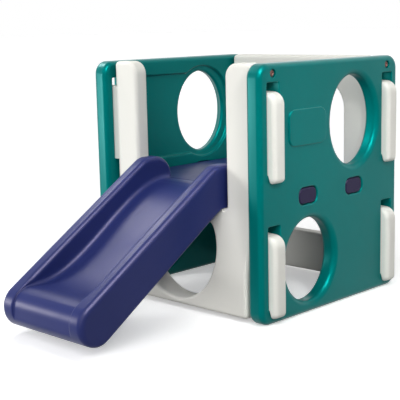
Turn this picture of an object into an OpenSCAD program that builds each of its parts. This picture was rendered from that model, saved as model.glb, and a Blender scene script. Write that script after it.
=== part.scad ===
// Toddler climbing gym: hollow moulded panels that hook into each other, a deck and a lift-off slide.
// +X is the right-hand side, -Y the slide end and +Z up.
// The origin is on the floor, under the middle of the whole.

/* [Gym] */
// Width over the outer faces of the two side panels
gym_w = 650; // [600:1:720]
// Depth of the side panels, front edge to back edge
gym_d = 633; // [600:1:700]
// Height of all four panels
gym_h = 698; // [670:1:760]
// Wall of every hollow moulding
wall = 3.5; // [3:0.25:4.5]

/* [Side panels] */
// Thickness of a side panel
side_t = 50; // [44:1:56]
// Corner radius of a side panel's outline
side_corner_r = 38; // [28:1:50]
// Radius of the round edges between a side panel's faces and its rim
side_edge_r = 14; // [9:1:18]
// Half width of the high crawl hole, which is also the radius of its round ends
high_hole_r = 107; // [95:1:112]
// Half length of the high hole's straight sides
high_hole_run = 20; // [5:1:24]
// High hole's centre, below the top of the panel
high_hole_drop = 176; // [170:1:190]
// High hole's centre, in front of the back edge
high_hole_inset = 215; // [210:1:235]
// Half width of the low crawl hole, which is also the radius of its round ends
low_hole_r = 108; // [95:1:112]
// Half length of the low hole's straight sides
low_hole_run = 9; // [3:1:12]
// Low hole's centre above the floor
low_hole_z = 150; // [146:1:156]
// Low hole's centre, behind the front edge
low_hole_inset = 214; // [208:1:230]
// Radius of the round rims of the crawl holes
hole_rim_r = 13; // [8:1:16]
// Depth of the recess in the inner face
recess_depth = 12; // [6:1:16]
// Ledge of the recess, above the deck
recess_ledge = 33; // [25:1:60]
// Top line of the recess, below the top of the panel
recess_drop = 51; // [42:1:70]
// Front end of the recess, behind the front edge
recess_inset = 112; // [100:1:140]
// Corner radius of the recess
recess_corner_r = 34; // [20:1:50]
// Width of the recess floor round the high hole's rim
recess_ring = 6; // [4:1:14]
// Length of the raised bare pad on the outer face
pad_l = 160; // [120:1:170]
// Height of the raised pad
pad_h = 98; // [80:1:120]
// How far the pad stands proud
pad_proud = 5; // [2:0.5:7]
// Corner radius of the pad
pad_corner_r = 24; // [10:1:30]
// Pad's front end, behind the front edge
pad_inset = 116; // [112:1:124]
// Pad's middle, below the top of the panel
pad_drop = 176; // [160:1:200]

/* [End panels] */
// Thickness of the front and back panels and of their tabs
end_t = 48; // [40:1:52]
// Outer face of an end panel, in from the side panels' edges
end_inset = 31; // [28:1:36]
// Gap between an end panel's side and the side panel
end_side_gap = 9; // [6:1:14]
// Lower edge of the end panels above the floor
end_lift = 10; // [4:1:14]
// How far the tabs stand out of the side panels
tab_proud = 24; // [18:1:32]
// Height of the upper tabs
high_tab_h = 240; // [200:1:246]
// Top of the upper tabs, below the top of the panel
high_tab_drop = 73; // [70:1:84]
// Height of the lower tabs
low_tab_h = 225; // [190:1:236]
// Bottom of the lower tabs above the floor
low_tab_z = 20; // [15:1:26]
// How far a tab drops behind its slot's lower edge
hook_drop = 22; // [16:1:24]
// Radius of the tabs' upper outer corner
tab_top_r = 34; // [20:1:40]
// Radius of the tabs' other outer corner
tab_low_r = 17; // [8:1:24]
// Half width of the front notch that the slide comes through
notch_half = 174; // [168:1:190]
// Radius of the notch's lower corners
notch_r = 8; // [4:1:10]
// Radius of the posts' inner top corners
post_r = 38; // [20:1:44]
// Radius of the end panels' outer corners
end_corner_r = 14; // [6:1:24]
// Top of the bridge below the deck's underside
bridge_drop = 6; // [3:1:10]
// Height of the bridge between the notch and the front crawl hole
bridge_h = 40; // [30:1:46]
// Radius of the front crawl hole
front_hole_r = 146; // [130:1:152]
// Bottom of the front crawl hole above the floor
front_hole_sill = 30; // [24:1:45]
// Radius of the front crawl hole's upper corners
front_hole_top_r = 34; // [20:1:45]
// How far the foot of the front panel stands forward of its posts
kick_out = 26; // [10:1:30]
// Height at which the foot's slope begins
kick_knee = 120; // [90:1:160]
// Radius of the foot's lower front edge
kick_r = 12; // [6:1:16]
// Half width of the back panel's openings
back_half = 182; // [150:1:190]
// Sill of the back panel's lower opening
back_sill = 136; // [110:1:150]
// Top of the back panel's upper opening, below the top of the panel
back_top_drop = 73; // [65:1:110]
// Radius of the lower opening's corners
back_low_r = 46; // [20:1:60]
// Radius of the upper opening's top corners
back_top_r = 90; // [50:1:100]

/* [Deck] */
// Height of the deck's surface
deck_z = 356; // [346:1:366]
// Thickness of the deck
deck_t = 48; // [40:1:52]
// Width of the deck's tabs
deck_tab_w = 78; // [60:1:84]
// Middle of the deck's front tab, behind the side panels' front edges
deck_tab_inset = 201; // [190:1:215]
// Distance between the middles of the two tabs on a side
deck_tab_pitch = 213; // [200:1:230]
// Corner radius of the deck's tabs
deck_tab_r = 13; // [6:1:18]
// Corner radius of the deck
deck_r = 12; // [6:1:20]

/* [Slide] */
// How far the slide reaches in front of the side panels
slide_reach = 484; // [450:1:520]
// Width of the slide
slide_w = 326; // [300:1:332]
// Width of the slide's trough
trough_w = 232; // [200:1:244]
// Radius of the slide walls' front end
rim_front_r = 58; // [54:1:64]
// Middle of the walls' front end above the floor
nose_z = 78; // [70:1:86]
// Radius of the slide walls' upper end
rim_top_r = 60; // [54:1:66]
// Radius of the lip at the end of the trough
lip_r = 52; // [46:1:56]
// How far the lip stays behind the front of the walls
lip_back = 6; // [3:1:10]
// Width of the foot under the slide
foot_w = 150; // [100:1:200]
// Length of the foot on the floor
foot_l = 40; // [25:1:50]
// Front of the foot, behind the slide's front
foot_back = 106; // [90:1:130]
// How far the foot widens upwards, at each end
foot_flare = 8; // [2:1:12]
// Height at which the foot ends inside the slide
foot_top = 90; // [80:1:95]
// Length of the flat run-out behind the lip
runout = 34; // [20:1:60]
// Length of the slide's end behind the front panel's face
landing = 15; // [12:1:18]
// How far the walls' upper ends lap over the deck
wall_lap = 20; // [10:1:26]
// How far the hook reaches below the bridge's top
slide_hook = 24; // [15:1:28]
// Share of the trough's length that each of its two bends takes
bend_share = 0.32; // [0.25:0.01:0.4]

/* [Screws] */
// Radius of the screw's shank
screw_r = 3; // [2.5:0.25:4]
// Radius of the screw's head
screw_head_r = 9; // [7:0.5:9.5]
// Height of the screw's head
screw_head_h = 5; // [3:0.5:6]
// Depth of the cross recess in the head
cross_depth = 2.5; // [1.5:0.5:3]
// Length of the cross recess
cross_l = 9; // [6:0.5:11]
// Width of the cross recess
cross_w = 2; // [1:0.2:2.4]
// Radius of the counterbore in the side panel
counterbore_r = 12; // [11:0.5:13]
// Depth of the counterbore
counterbore_depth = 9; // [8.5:0.5:14]
// Screws' height, below the top of the panel
screw_drop = 26; // [25:1:28]
// Radius of the washer
washer_r = 10.5; // [9.75:0.25:10.75]
// Thickness of the washer
washer_t = 1.6; // [1:0.2:2.4]
// Outer radius of the threaded insert
insert_r = 6; // [5:0.5:8]
// Length of the threaded insert
insert_l = 20; // [16:1:24]
// How far the screw runs into the insert
screw_grip = 16; // [10:1:16]

/* [Fits] */
// Clearance of a tab in its slot, on each side
slot_play = 0.75; // [0.5:0.25:1.5]
// Play that lets a tab pass through its slot
slot_pass = 2; // [1:0.5:3]
// Gap where a piece rests on another
seat_gap = 0.3; // [0.2:0.1:0.5]
// Clearance of a screw in a drilled hole
screw_play = 0.6; // [0.4:0.1:1]
// Clearance of a screw in its insert
thread_play = 0.1; // [0.05:0.05:0.2]
// Gap between the deck and the panels round it
deck_play = 1; // [0.5:0.5:2]

/* [Hidden] */
$fn = 48;
// How far every cut runs past the face it opens
overrun = 1;
// Steps in a rounded corner, in a round edge, in a hole's rim and along the trough
arc_steps = 5;
edge_steps = 3;
rim_steps = 2;
trough_steps = 18;

// Places shared by several pieces, with y counted from the side panels' front edges
front_y = (slide_reach - gym_d) / 2;
face_x = gym_w / 2;
inner_x = face_x - side_t;
end_x = inner_x - end_side_gap;
end_back = end_inset + end_t;
end_mid = end_inset + end_t / 2;
bridge_z = deck_z - deck_t - bridge_drop;
front_hole_top = bridge_z - bridge_h;
front_hole_z = front_hole_sill + front_hole_r;
high_hole_y = gym_d - high_hole_inset;
high_hole_z = gym_h - high_hole_drop;
high_tab_z = gym_h - high_tab_drop - high_tab_h;
tabs = [[low_tab_z, low_tab_h], [high_tab_z, high_tab_h]];
screw_z = gym_h - screw_drop;
seat_x = face_x - counterbore_depth + washer_t;
deck_tab_h = deck_t - 2 * deck_play;
deck_tab_ys = [deck_tab_inset, deck_tab_inset + deck_tab_pitch];

// Outlines with rounded corners: each point is [x, y, radius]
function unit(v) = v / norm(v);
function flat(p) = [p[0], p[1]];
function round_corner(a, p, b, r) =
    let (u = unit(a - p), v = unit(b - p), half = acos(u * v) / 2)
    let (middle = p + unit(u + v) * r / sin(half))
    let (first = p + u * r / tan(half) - middle, last = p + v * r / tan(half) - middle)
    let (start = atan2(first[1], first[0]))
    let (turn = atan2(first[0] * last[1] - first[1] * last[0], first * last))
    [for (i = [0 : arc_steps]) middle + r * dir(start + turn * i / arc_steps)];
function dir(a) = [cos(a), sin(a)];
function rounded(pts) = let (n = len(pts)) [for (i = [0 : n - 1])
    let (p = flat(pts[i]), a = flat(pts[(i + n - 1) % n]), b = flat(pts[(i + 1) % n]))
    each pts[i][2] > 0 ? round_corner(a, p, b, pts[i][2]) : [p]];
function box_points(x0, y0, x1, y1, r) = rounded([[x0, y0, r], [x1, y0, r], [x1, y1, r], [x0, y1, r]]);
function arc(c, r, a0, a1, skip = 0) = let (step = (a1 - a0) / (2 * arc_steps))
    [for (i = [skip : 2 * arc_steps]) c + r * dir(a0 + i * step)];
function mirrored(pts) = [for (i = [len(pts) - 1 : -1 : 0]) [-pts[i][0], pts[i][1], pts[i][2]]];

// Placing: outlines drawn in y and z run along x, outlines in x and z run along y
module placed() translate([0, front_y, 0]) children();
module along_x(x0, x1) translate([x0, 0, 0]) rotate([90, 0, 90]) linear_extrude(x1 - x0) children();
module along_y(y0, y1) translate([0, y1, 0]) rotate([90, 0, 0]) linear_extrude(y1 - y0) children();
module rod_x(x0, x1, y, z, r) translate([x0, y, z]) rotate([0, 90, 0]) cylinder(h = x1 - x0, r = r);
module oval_x(x0, x1, y, z, r, run) {
    for (side = [-1, 1]) rod_x(x0, x1, y, z + side * run, r);
    translate([x0, y - r, z - run]) cube([x1 - x0, 2 * r, 2 * run]);
}
module left() mirror([1, 0, 0]) children();

// A side panel is a round-edged hollow plate with walled holes, slots and screw bosses
module side_plate(inset) {
    r = side_edge_r - inset;
    hull() for (i = [0 : edge_steps]) {
        sink = inset + r * (1 - cos(90 * i / edge_steps));
        draw_in = inset + r * (1 - sin(90 * i / edge_steps));
        along_x(inner_x + sink, face_x - sink)
            polygon(box_points(draw_in, draw_in, gym_d - draw_in, gym_h - draw_in, side_corner_r - draw_in));
    }
}

function rim_points(r, t) = concat(
    [[r + hole_rim_r, -overrun]],
    [for (i = [0 : rim_steps]) [r + hole_rim_r, hole_rim_r] - hole_rim_r * dir(90 - 90 * i / rim_steps)],
    [for (i = [0 : rim_steps]) [r + hole_rim_r, t - hole_rim_r] - hole_rim_r * dir(-90 * i / rim_steps)],
    [[r + hole_rim_r, t + overrun]]);
module crawl_hole(r, run, x0, y, z) translate([x0, y, z]) rotate([0, 90, 0]) {
    t = face_x - x0;
    pts = rim_points(r, t);
    for (side = [-1, 1]) translate([side * run, 0, 0]) rotate_extrude($fn = 96)
        polygon(concat([[0, -overrun]], pts, [[0, t + overrun]]));
    along_x(-run, run) polygon(concat(pts, [for (i = [len(pts) - 1 : -1 : 0]) [-pts[i][0], pts[i][1]]]));
}

module tab_slots(grow) for (tab = tabs, y = [end_inset, gym_d - end_back]) {
    z0 = tab[0] + hook_drop - grow;
    z1 = tab[0] + hook_drop + tab[1] + slot_pass + grow;
    y0 = y - slot_play - grow;
    y1 = y + end_t + slot_play + grow;
    along_x(inner_x - overrun, face_x + overrun)
        polygon(box_points(y0, z0, y1, z1, slot_play + grow));
}

module deck_slots(grow) for (y = deck_tab_ys) {
    half = deck_tab_w / 2 + slot_play + grow;
    z0 = deck_z - deck_play - deck_tab_h - seat_gap - grow;
    z1 = deck_z - deck_play + slot_play + grow;
    along_x(inner_x - overrun, face_x + overrun)
        polygon(box_points(y - half, z0, y + half, z1, deck_tab_r + grow));
}

module inner_recess(grow) {
    ring_r = high_hole_r + hole_rim_r + recess_ring + grow;
    ledge_z = deck_z + recess_ledge - grow;
    top_z = gym_h - recess_drop + grow;
    along_x(inner_x - overrun, inner_x + recess_depth + grow)
        polygon(box_points(recess_inset - grow, ledge_z, high_hole_y, top_z, recess_corner_r));
    oval_x(inner_x - overrun, inner_x + recess_depth + grow, high_hole_y, high_hole_z, ring_r, high_hole_run);
}

module at_screws() for (y = [end_mid, gym_d - end_mid]) translate([0, y, screw_z]) children();

module side_cavity() difference() {
    side_plate(wall);
    inner_recess(wall);
    tab_slots(wall);
    deck_slots(wall);
    oval_x(inner_x, face_x, high_hole_y, high_hole_z, high_hole_r + hole_rim_r, high_hole_run);
    oval_x(inner_x, face_x, low_hole_inset, low_hole_z, low_hole_r + hole_rim_r, low_hole_run);
    at_screws() rod_x(inner_x, face_x, 0, 0, counterbore_r + wall);
}

module raised_pad() {
    z = gym_h - pad_drop;
    along_x(face_x - wall / 2, face_x + pad_proud)
        polygon(box_points(pad_inset, z - pad_h / 2, pad_inset + pad_l, z + pad_h / 2, pad_corner_r));
}

module side_panel() color([0, 0.44, 0.42]) placed() difference() {
    union() {
        side_plate(0);
        raised_pad();
    }
    side_cavity();
    inner_recess(0);
    tab_slots(0);
    deck_slots(0);
    crawl_hole(high_hole_r, high_hole_run, inner_x + recess_depth, high_hole_y, high_hole_z);
    crawl_hole(low_hole_r, low_hole_run, inner_x, low_hole_inset, low_hole_z);
    at_screws() {
        rod_x(inner_x - overrun, face_x + overrun, 0, 0, screw_r + screw_play);
        rod_x(face_x - counterbore_depth, face_x + overrun, 0, 0, counterbore_r);
    }
}
module right_side_panel() side_panel();
module left_side_panel() left() side_panel();

// End panels: one outline with hooked tabs on both sides, from the foot up the right-hand side
function tab_points(z, h) = [
    [end_x, z + hook_drop + seat_gap, 0],
    [face_x + seat_gap, z + hook_drop + seat_gap, 0],
    [face_x + seat_gap, z, 0],
    [face_x + tab_proud, z, tab_low_r],
    [face_x + tab_proud, z + h, tab_top_r],
    [end_x, z + h, 0]];
function right_edge() = concat([[end_x, end_lift, end_corner_r]],
    [for (tab = tabs) each tab_points(tab[0], tab[1])],
    [[end_x, gym_h, end_corner_r]]);
function notch_edge() = [[notch_half, gym_h, post_r], [notch_half, bridge_z, notch_r]];
function end_outline(middle) = let (half = concat(right_edge(), middle))
    rounded(concat(half, mirrored(half)));

module panel_core(pts) {
    along_y(end_inset, end_back) polygon(pts);
}
module panel_cavity(pts) {
    along_y(end_inset + wall, end_back - wall) offset(delta = -wall) polygon(pts);
}
module insert_bosses() for (side = [0, 1]) mirror([side, 0, 0])
    rod_x(end_x - insert_l - 2 * wall, end_x, end_mid, screw_z, insert_r + wall);
module insert_bores() for (side = [0, 1]) mirror([side, 0, 0])
    rod_x(end_x - insert_l - wall, end_x + overrun, end_mid, screw_z, insert_r + thread_play);

// The front panel's crawl hole: a round arch with a flat top under the bridge
function front_hole_points() =
    let (lift = front_hole_top - front_hole_top_r - front_hole_z, span = front_hole_r - front_hole_top_r)
    let (side = sqrt(span * span - lift * lift), tip = atan2(lift, side))
    let (top_z = front_hole_z + lift)
    concat(arc([0, front_hole_z], front_hole_r, 180 - tip, 360 + tip),
        arc([side, top_z], front_hole_top_r, tip, 90),
        arc([-side, top_z], front_hole_top_r, 90, 180 - tip));

// The foot of the front panel leans out in front of the posts
module foot(depth) intersection() {
    y = end_inset - kick_out;
    along_x(-end_x, end_x)
        polygon(rounded([[y, end_lift, kick_r], [end_inset + depth, end_lift, 0],
            [end_inset + depth, bridge_z, 0], [end_inset, bridge_z, 0], [y, kick_knee, kick_r]]));
    along_y(y - overrun, end_inset + depth + overrun)
        polygon(box_points(-end_x, end_lift, end_x, gym_h, end_corner_r));
}
module foot_cavity() {
    y = end_inset - kick_out;
    along_x(wall - end_x, end_x - wall) offset(delta = -wall)
        polygon([[y, end_lift], [end_back, end_lift], [end_back, bridge_z], [end_inset, bridge_z],
            [y, kick_knee]]);
}

module front_panel() color([0.92, 0.91, 0.87]) placed() difference() {
    union() {
        panel_core(end_outline(notch_edge()));
        foot(wall);
    }
    difference() {
        union() {
            panel_cavity(end_outline(notch_edge()));
            foot_cavity();
        }
        along_y(-kick_out, end_back) offset(delta = wall) polygon(front_hole_points());
        insert_bosses();
    }
    along_y(-kick_out, end_back + overrun) polygon(front_hole_points());
    insert_bores();
}

module back_openings(grow) along_y(end_inset - overrun, end_back + overrun) offset(delta = grow) {
    low_top = deck_z - deck_t;
    high_top = gym_h - back_top_drop;
    polygon(box_points(-back_half, back_sill, back_half, low_top, back_low_r));
    polygon(rounded([[-back_half, deck_z, notch_r], [back_half, deck_z, notch_r],
        [back_half, high_top, back_top_r], [-back_half, high_top, back_top_r]]));
}

module back_panel() color([0.92, 0.91, 0.87])
    placed() translate([0, gym_d, 0]) mirror([0, 1, 0]) difference() {
    panel_core(end_outline([]));
    difference() {
        panel_cavity(end_outline([]));
        back_openings(wall);
        insert_bosses();
    }
    back_openings(0);
    insert_bores();
}

// The deck: a hollow plate between the panels, with two beams that end as tabs in the side panels
function deck_points() =
    let (x = inner_x - deck_play, y1 = gym_d - end_back - deck_play)
    box_points(-x, slide_rear + deck_play, x, y1, deck_r);
module deck_beams(inset) for (y = deck_tab_ys) {
    half = deck_tab_w / 2 - inset;
    x = face_x - deck_play - inset;
    z1 = deck_z - deck_play - inset;
    z0 = z1 - deck_tab_h + 2 * inset;
    along_x(-x, x) polygon(box_points(y - half, z0, y + half, z1, deck_tab_r - inset));
}
module platform() color([0.2, 0.2, 0.5]) placed() difference() {
    union() {
        translate([0, 0, deck_z - deck_t]) linear_extrude(deck_t) polygon(deck_points());
        deck_beams(0);
    }
    translate([0, 0, deck_z - deck_t + wall]) linear_extrude(deck_t - 2 * wall)
        offset(delta = -wall) polygon(deck_points());
    deck_beams(wall);
}

// The slide: two capsule-shaped walls with a trough between, a lip, a foot and a hook behind the bridge
slide_rear = end_back + landing;
slide_seat = bridge_z + seat_gap;
rim_front = [rim_front_r - slide_reach, nose_z];
rim_top = [end_inset, slide_seat + rim_top_r];
rim_run = norm(rim_top - rim_front);
rim_slope = atan2(rim_top[1] - rim_front[1], rim_top[0] - rim_front[0]);
rim_taper = asin((rim_top_r - rim_front_r) / rim_run);
under = [end_inset - seat_gap, slide_seat] - rim_front;
under_slope = atan2(under[1], under[0]) + asin(rim_front_r / norm(under));
lip = [lip_r + lip_back - slide_reach, nose_z];
bed_end = [lip[0] + runout, nose_z + lip_r];
bed_start = [slide_rear - landing, deck_z];

function slide_points() = concat(
    arc(rim_front, rim_front_r, 90 + rim_slope + rim_taper, 180),
    arc(rim_front, rim_front_r, 180, 270 + under_slope, 1),
    [[end_inset - seat_gap, slide_seat], [end_back + seat_gap, slide_seat]],
    [[end_back + seat_gap, slide_seat - slide_hook], [slide_rear, slide_seat - slide_hook]],
    [[slide_rear, deck_z + seat_gap], [slide_rear + wall_lap, deck_z + seat_gap]],
    arc([slide_rear + wall_lap - rim_top_r, rim_top[1]], rim_top_r, 0, 90),
    arc(rim_top, rim_top_r, 90, 90 + rim_slope + rim_taper));
function bend(a, b, reach, t) = pow(1 - t, 3) * a + 3 * pow(1 - t, 2) * t * (a - [reach, 0])
    + 3 * (1 - t) * t * t * (b + [reach, 0]) + pow(t, 3) * b;
function trough_points() =
    let (reach = (bed_start[0] - bed_end[0]) * bend_share, top = rim_top[1] + 2 * rim_top_r)
    concat([[slide_rear + rim_top_r, top], [slide_rear + rim_top_r, deck_z]],
        [for (i = [0 : trough_steps]) bend(bed_start, bed_end, reach, i / trough_steps)],
        arc(lip, lip_r, 90, 180),
        [[lip[0] - lip_r, -overrun], [-slide_reach - rim_top_r, -overrun], [-slide_reach - rim_top_r, top]]);

function foot_points() = let (y = foot_back - slide_reach)
    [[y, 0], [y + foot_l, 0], [y + foot_l + foot_flare, foot_top], [y - foot_flare, foot_top]];

module slide_cavity() {
    half = slide_w / 2 - wall;
    along_x(wall - foot_w / 2, foot_w / 2 - wall) offset(delta = -wall) polygon(foot_points());
    along_x(-half, half) difference() {
        offset(delta = -wall) polygon(slide_points());
        offset(delta = wall) polygon(trough_points());
    }
    for (side = [0, 1]) mirror([side, 0, 0])
        along_x(trough_w / 2 + wall, half) offset(delta = -wall) polygon(slide_points());
}
module slide() color([0.2, 0.21, 0.48]) placed() difference() {
    union() {
        along_x(-slide_w / 2, slide_w / 2) polygon(slide_points());
        along_x(-foot_w / 2, foot_w / 2) polygon(foot_points());
    }
    along_x(-trough_w / 2, trough_w / 2) polygon(trough_points());
    slide_cavity();
}

// Screws run through the side panels into inserts in the end panels' posts
module at_corner(side, back) placed() mirror([side, 0, 0])
    translate([0, back ? gym_d - end_mid : end_mid, screw_z]) children();

module screw(side, back) color([0.6, 0.42, 0.3]) at_corner(side, back) difference() {
    union() {
        rod_x(end_x - screw_grip, seat_x, 0, 0, screw_r);
        rod_x(seat_x, seat_x + screw_head_h, 0, 0, screw_head_r);
    }
    for (turn = [0, 90]) rotate([turn, 0, 0])
        translate([seat_x + screw_head_h - cross_depth, -cross_l / 2, -cross_w / 2])
            cube([cross_depth + overrun, cross_l, cross_w]);
}
module screw_front_right() screw(0, false);
module screw_front_left() screw(1, false);
module screw_back_right() screw(0, true);
module screw_back_left() screw(1, true);

module washer(side, back) color([0.75, 0.74, 0.7]) at_corner(side, back) difference() {
    rod_x(seat_x - washer_t, seat_x, 0, 0, washer_r);
    rod_x(seat_x - washer_t - overrun, seat_x + overrun, 0, 0, screw_r + screw_play);
}
module washer_front_right() washer(0, false);
module washer_front_left() washer(1, false);
module washer_back_right() washer(0, true);
module washer_back_left() washer(1, true);

module insert(side, back) color([0.8, 0.65, 0.3]) at_corner(side, back) difference() {
    rod_x(end_x - insert_l, end_x, 0, 0, insert_r);
    rod_x(end_x - insert_l - overrun, end_x + overrun, 0, 0, screw_r + thread_play);
}
module insert_front_right() insert(0, false);
module insert_front_left() insert(1, false);
module insert_back_right() insert(0, true);
module insert_back_left() insert(1, true);

right_side_panel();
left_side_panel();
front_panel();
back_panel();
platform();
slide();
screw_front_right();
screw_front_left();
screw_back_right();
screw_back_left();
washer_front_right();
washer_front_left();
washer_back_right();
washer_back_left();
insert_front_right();
insert_front_left();
insert_back_right();
insert_back_left();
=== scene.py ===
import math
import bmesh
import bpy
import numpy as np
from mathutils import Matrix, Vector


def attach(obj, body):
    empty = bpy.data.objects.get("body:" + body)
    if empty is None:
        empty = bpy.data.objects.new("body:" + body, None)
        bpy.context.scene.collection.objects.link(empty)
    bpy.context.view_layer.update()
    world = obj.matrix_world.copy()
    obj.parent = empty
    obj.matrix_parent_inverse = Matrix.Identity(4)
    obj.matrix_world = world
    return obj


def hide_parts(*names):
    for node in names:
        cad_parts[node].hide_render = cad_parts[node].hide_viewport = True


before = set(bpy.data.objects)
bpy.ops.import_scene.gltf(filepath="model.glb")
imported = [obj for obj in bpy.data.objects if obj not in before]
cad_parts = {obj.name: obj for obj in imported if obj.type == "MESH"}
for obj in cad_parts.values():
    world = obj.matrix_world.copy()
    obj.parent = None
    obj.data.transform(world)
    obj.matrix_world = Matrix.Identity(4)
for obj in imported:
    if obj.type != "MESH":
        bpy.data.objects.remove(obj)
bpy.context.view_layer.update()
mm = 0.001
tiny = 1e-6  # what counts as no length at all
frontY = -74.5  # the side panels' front edges in the shared frame
print("stage: frame loaded")


def direction(degrees):
    a = math.radians(degrees)
    return np.array((math.cos(a), math.sin(a)))


def quarterTurn(steps):
    return [math.pi / 2 * k / steps for k in range(steps + 1)]


# A loop is a closed outline with an outward normal and an edge radius at every point
def makeLoop(points, normals, edges, spacing=30.0):
    outPoints, outNormals, outEdges = [], [], []
    count = len(points)
    for i in range(count):
        j = (i + 1) % count
        gap = np.linalg.norm(points[j] - points[i])
        if gap < tiny:
            continue
        parts = int(gap // spacing)
        for k in range(parts + 1):
            t = k / (parts + 1)
            n = normals[i] * (1 - t) + normals[j] * t
            outPoints.append(points[i] * (1 - t) + points[j] * t)
            outNormals.append(n / np.linalg.norm(n))
            outEdges.append(edges[i] * (1 - t) + edges[j] * t)
    return {"points": np.array(outPoints), "normals": np.array(outNormals), "edges": np.array(outEdges)}


def cornerLoop(corners, steps=10):
    points, normals, edges = [], [], []
    count = len(corners)
    for i in range(count):
        p = np.array(corners[i][:2], float)
        a = np.array(corners[i - 1][:2], float) - p
        b = np.array(corners[(i + 1) % count][:2], float) - p
        radius, edge = corners[i][2:]
        a, b = a / np.linalg.norm(a), b / np.linalg.norm(b)
        half = 0.5 * math.acos(max(-1.0, min(1.0, float(a @ b))))
        middle = (a + b) / np.linalg.norm(a + b)
        centre = p + middle * radius / math.sin(half)
        start = p + a * radius / math.tan(half) - centre
        stop = p + b * radius / math.tan(half) - centre
        angle = math.degrees(math.atan2(start[1], start[0]))
        turn = math.degrees(math.atan2(start[0] * stop[1] - start[1] * stop[0], start @ stop))
        for k in range(steps + 1):
            d = direction(angle + turn * k / steps)
            points.append(centre + radius * d)
            normals.append(d if turn > 0 else -d)
            edges.append(edge)
    return makeLoop(points, normals, edges)


def boxCorners(u0, v0, u1, v1, corner, edge=0.0):
    return [(u0, v0, corner, edge), (u1, v0, corner, edge), (u1, v1, corner, edge), (u0, v1, corner, edge)]


def arcLoop(arcs, edge=0.0):
    points, normals = [], []
    for u, v, radius, first, last, side, steps in arcs:  # side is -1 where the arc's centre lies outside
        for k in range(steps + 1):
            d = direction(first + (last - first) * k / steps)
            points.append(np.array((u, v)) + radius * d)
            normals.append(side * d)
    return makeLoop(points, normals, [edge] * len(points))


def circleLoop(u, v, radius, edge=0.0, count=40):
    spokes = [direction(360.0 * k / count) for k in range(count)]
    return makeLoop([np.array((u, v)) + radius * d for d in spokes], spokes, [edge] * count)


def ovalLoop(u, v, wide, tall, edge, count=128):
    points, normals = [], []
    for k in range(count):
        d = direction(360.0 * k / count)
        n = d / (wide, tall)
        points.append(np.array((u, v)) + d * (wide, tall))
        normals.append(n / np.linalg.norm(n))
    return makeLoop(points, normals, [edge] * count)


def asHole(loop):
    return {"points": loop["points"][::-1], "normals": -loop["normals"][::-1], "edges": loop["edges"][::-1]}


def addRing(bm, loop, inset, depth, place):
    moved = loop["points"] - loop["normals"] * np.reshape(inset, (-1, 1))
    depth = np.broadcast_to(depth, len(moved))
    return [bm.verts.new(place(p[0], p[1], w)) for p, w in zip(moved, depth)]


def joinRings(bm, rings):
    for first, second in zip(rings, rings[1:]):
        for i in range(len(first)):
            j = (i + 1) % len(first)
            bm.faces.new((first[i], first[j], second[j], second[i]))


def wall(bm, loop, low, high, place, steps=7, lowEdge=None, draft=0.0):
    edge = loop["edges"]
    under = edge if lowEdge is None else lowEdge
    rings = []
    for a in quarterTurn(steps):
        inset = under * (1 - math.sin(a)) - draft
        rings.append(addRing(bm, loop, inset, low + under * (1 - math.cos(a)), place))
    for a in reversed(quarterTurn(steps)):
        inset = edge * (1 - math.sin(a))
        rings.append(addRing(bm, loop, inset, high - edge * (1 - math.cos(a)), place))
    joinRings(bm, rings)
    return rings[0], rings[-1]


def step(bm, loop, base, top, foot, brow, place, steps=5):
    turns = quarterTurn(steps)
    rings = []
    if top > base:  # a rise is drawn from its foot to its brow
        for a in turns:
            rings.append(addRing(bm, loop, -foot * (1 - math.sin(a)), base + foot * (1 - math.cos(a)), place))
        for a in turns:
            rings.append(addRing(bm, loop, brow * (1 - math.cos(a)), top - brow * (1 - math.sin(a)), place))
    else:  # a recess is drawn from its brow to its floor
        for a in turns:
            rings.append(addRing(bm, loop, brow * (1 - math.sin(a)), base - brow * (1 - math.cos(a)), place))
        for a in turns:
            rings.append(addRing(bm, loop, -foot * (1 - math.cos(a)), top + foot * (1 - math.sin(a)), place))
    joinRings(bm, rings)
    return rings[0], rings[-1]


def fill(bm, rings):
    edges = []
    for ring in rings:
        for i in range(len(ring)):
            pair = (ring[i - 1], ring[i])
            edges.append(bm.edges.get(pair) or bm.edges.new(pair))
    bmesh.ops.triangle_fill(bm, use_beauty=True, use_dissolve=False, edges=edges)


def addObject(name, data):
    made = bpy.data.objects.new(name, data)
    bpy.context.scene.collection.objects.link(made)
    return made


def toObject(name, bm, sharp=50.0):
    bmesh.ops.remove_doubles(bm, verts=bm.verts, dist=tiny)
    bmesh.ops.dissolve_degenerate(bm, edges=bm.edges, dist=tiny)
    bmesh.ops.recalc_face_normals(bm, faces=bm.faces)
    mesh = bpy.data.meshes.new(name)
    bm.to_mesh(mesh)
    bm.free()
    mesh.shade_smooth()
    mesh.set_sharp_from_angle(angle=math.radians(sharp))
    made = addObject(name, mesh)
    weights = made.modifiers.new("weights", "WEIGHTED_NORMAL")
    weights.keep_sharp = True
    return made


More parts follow.
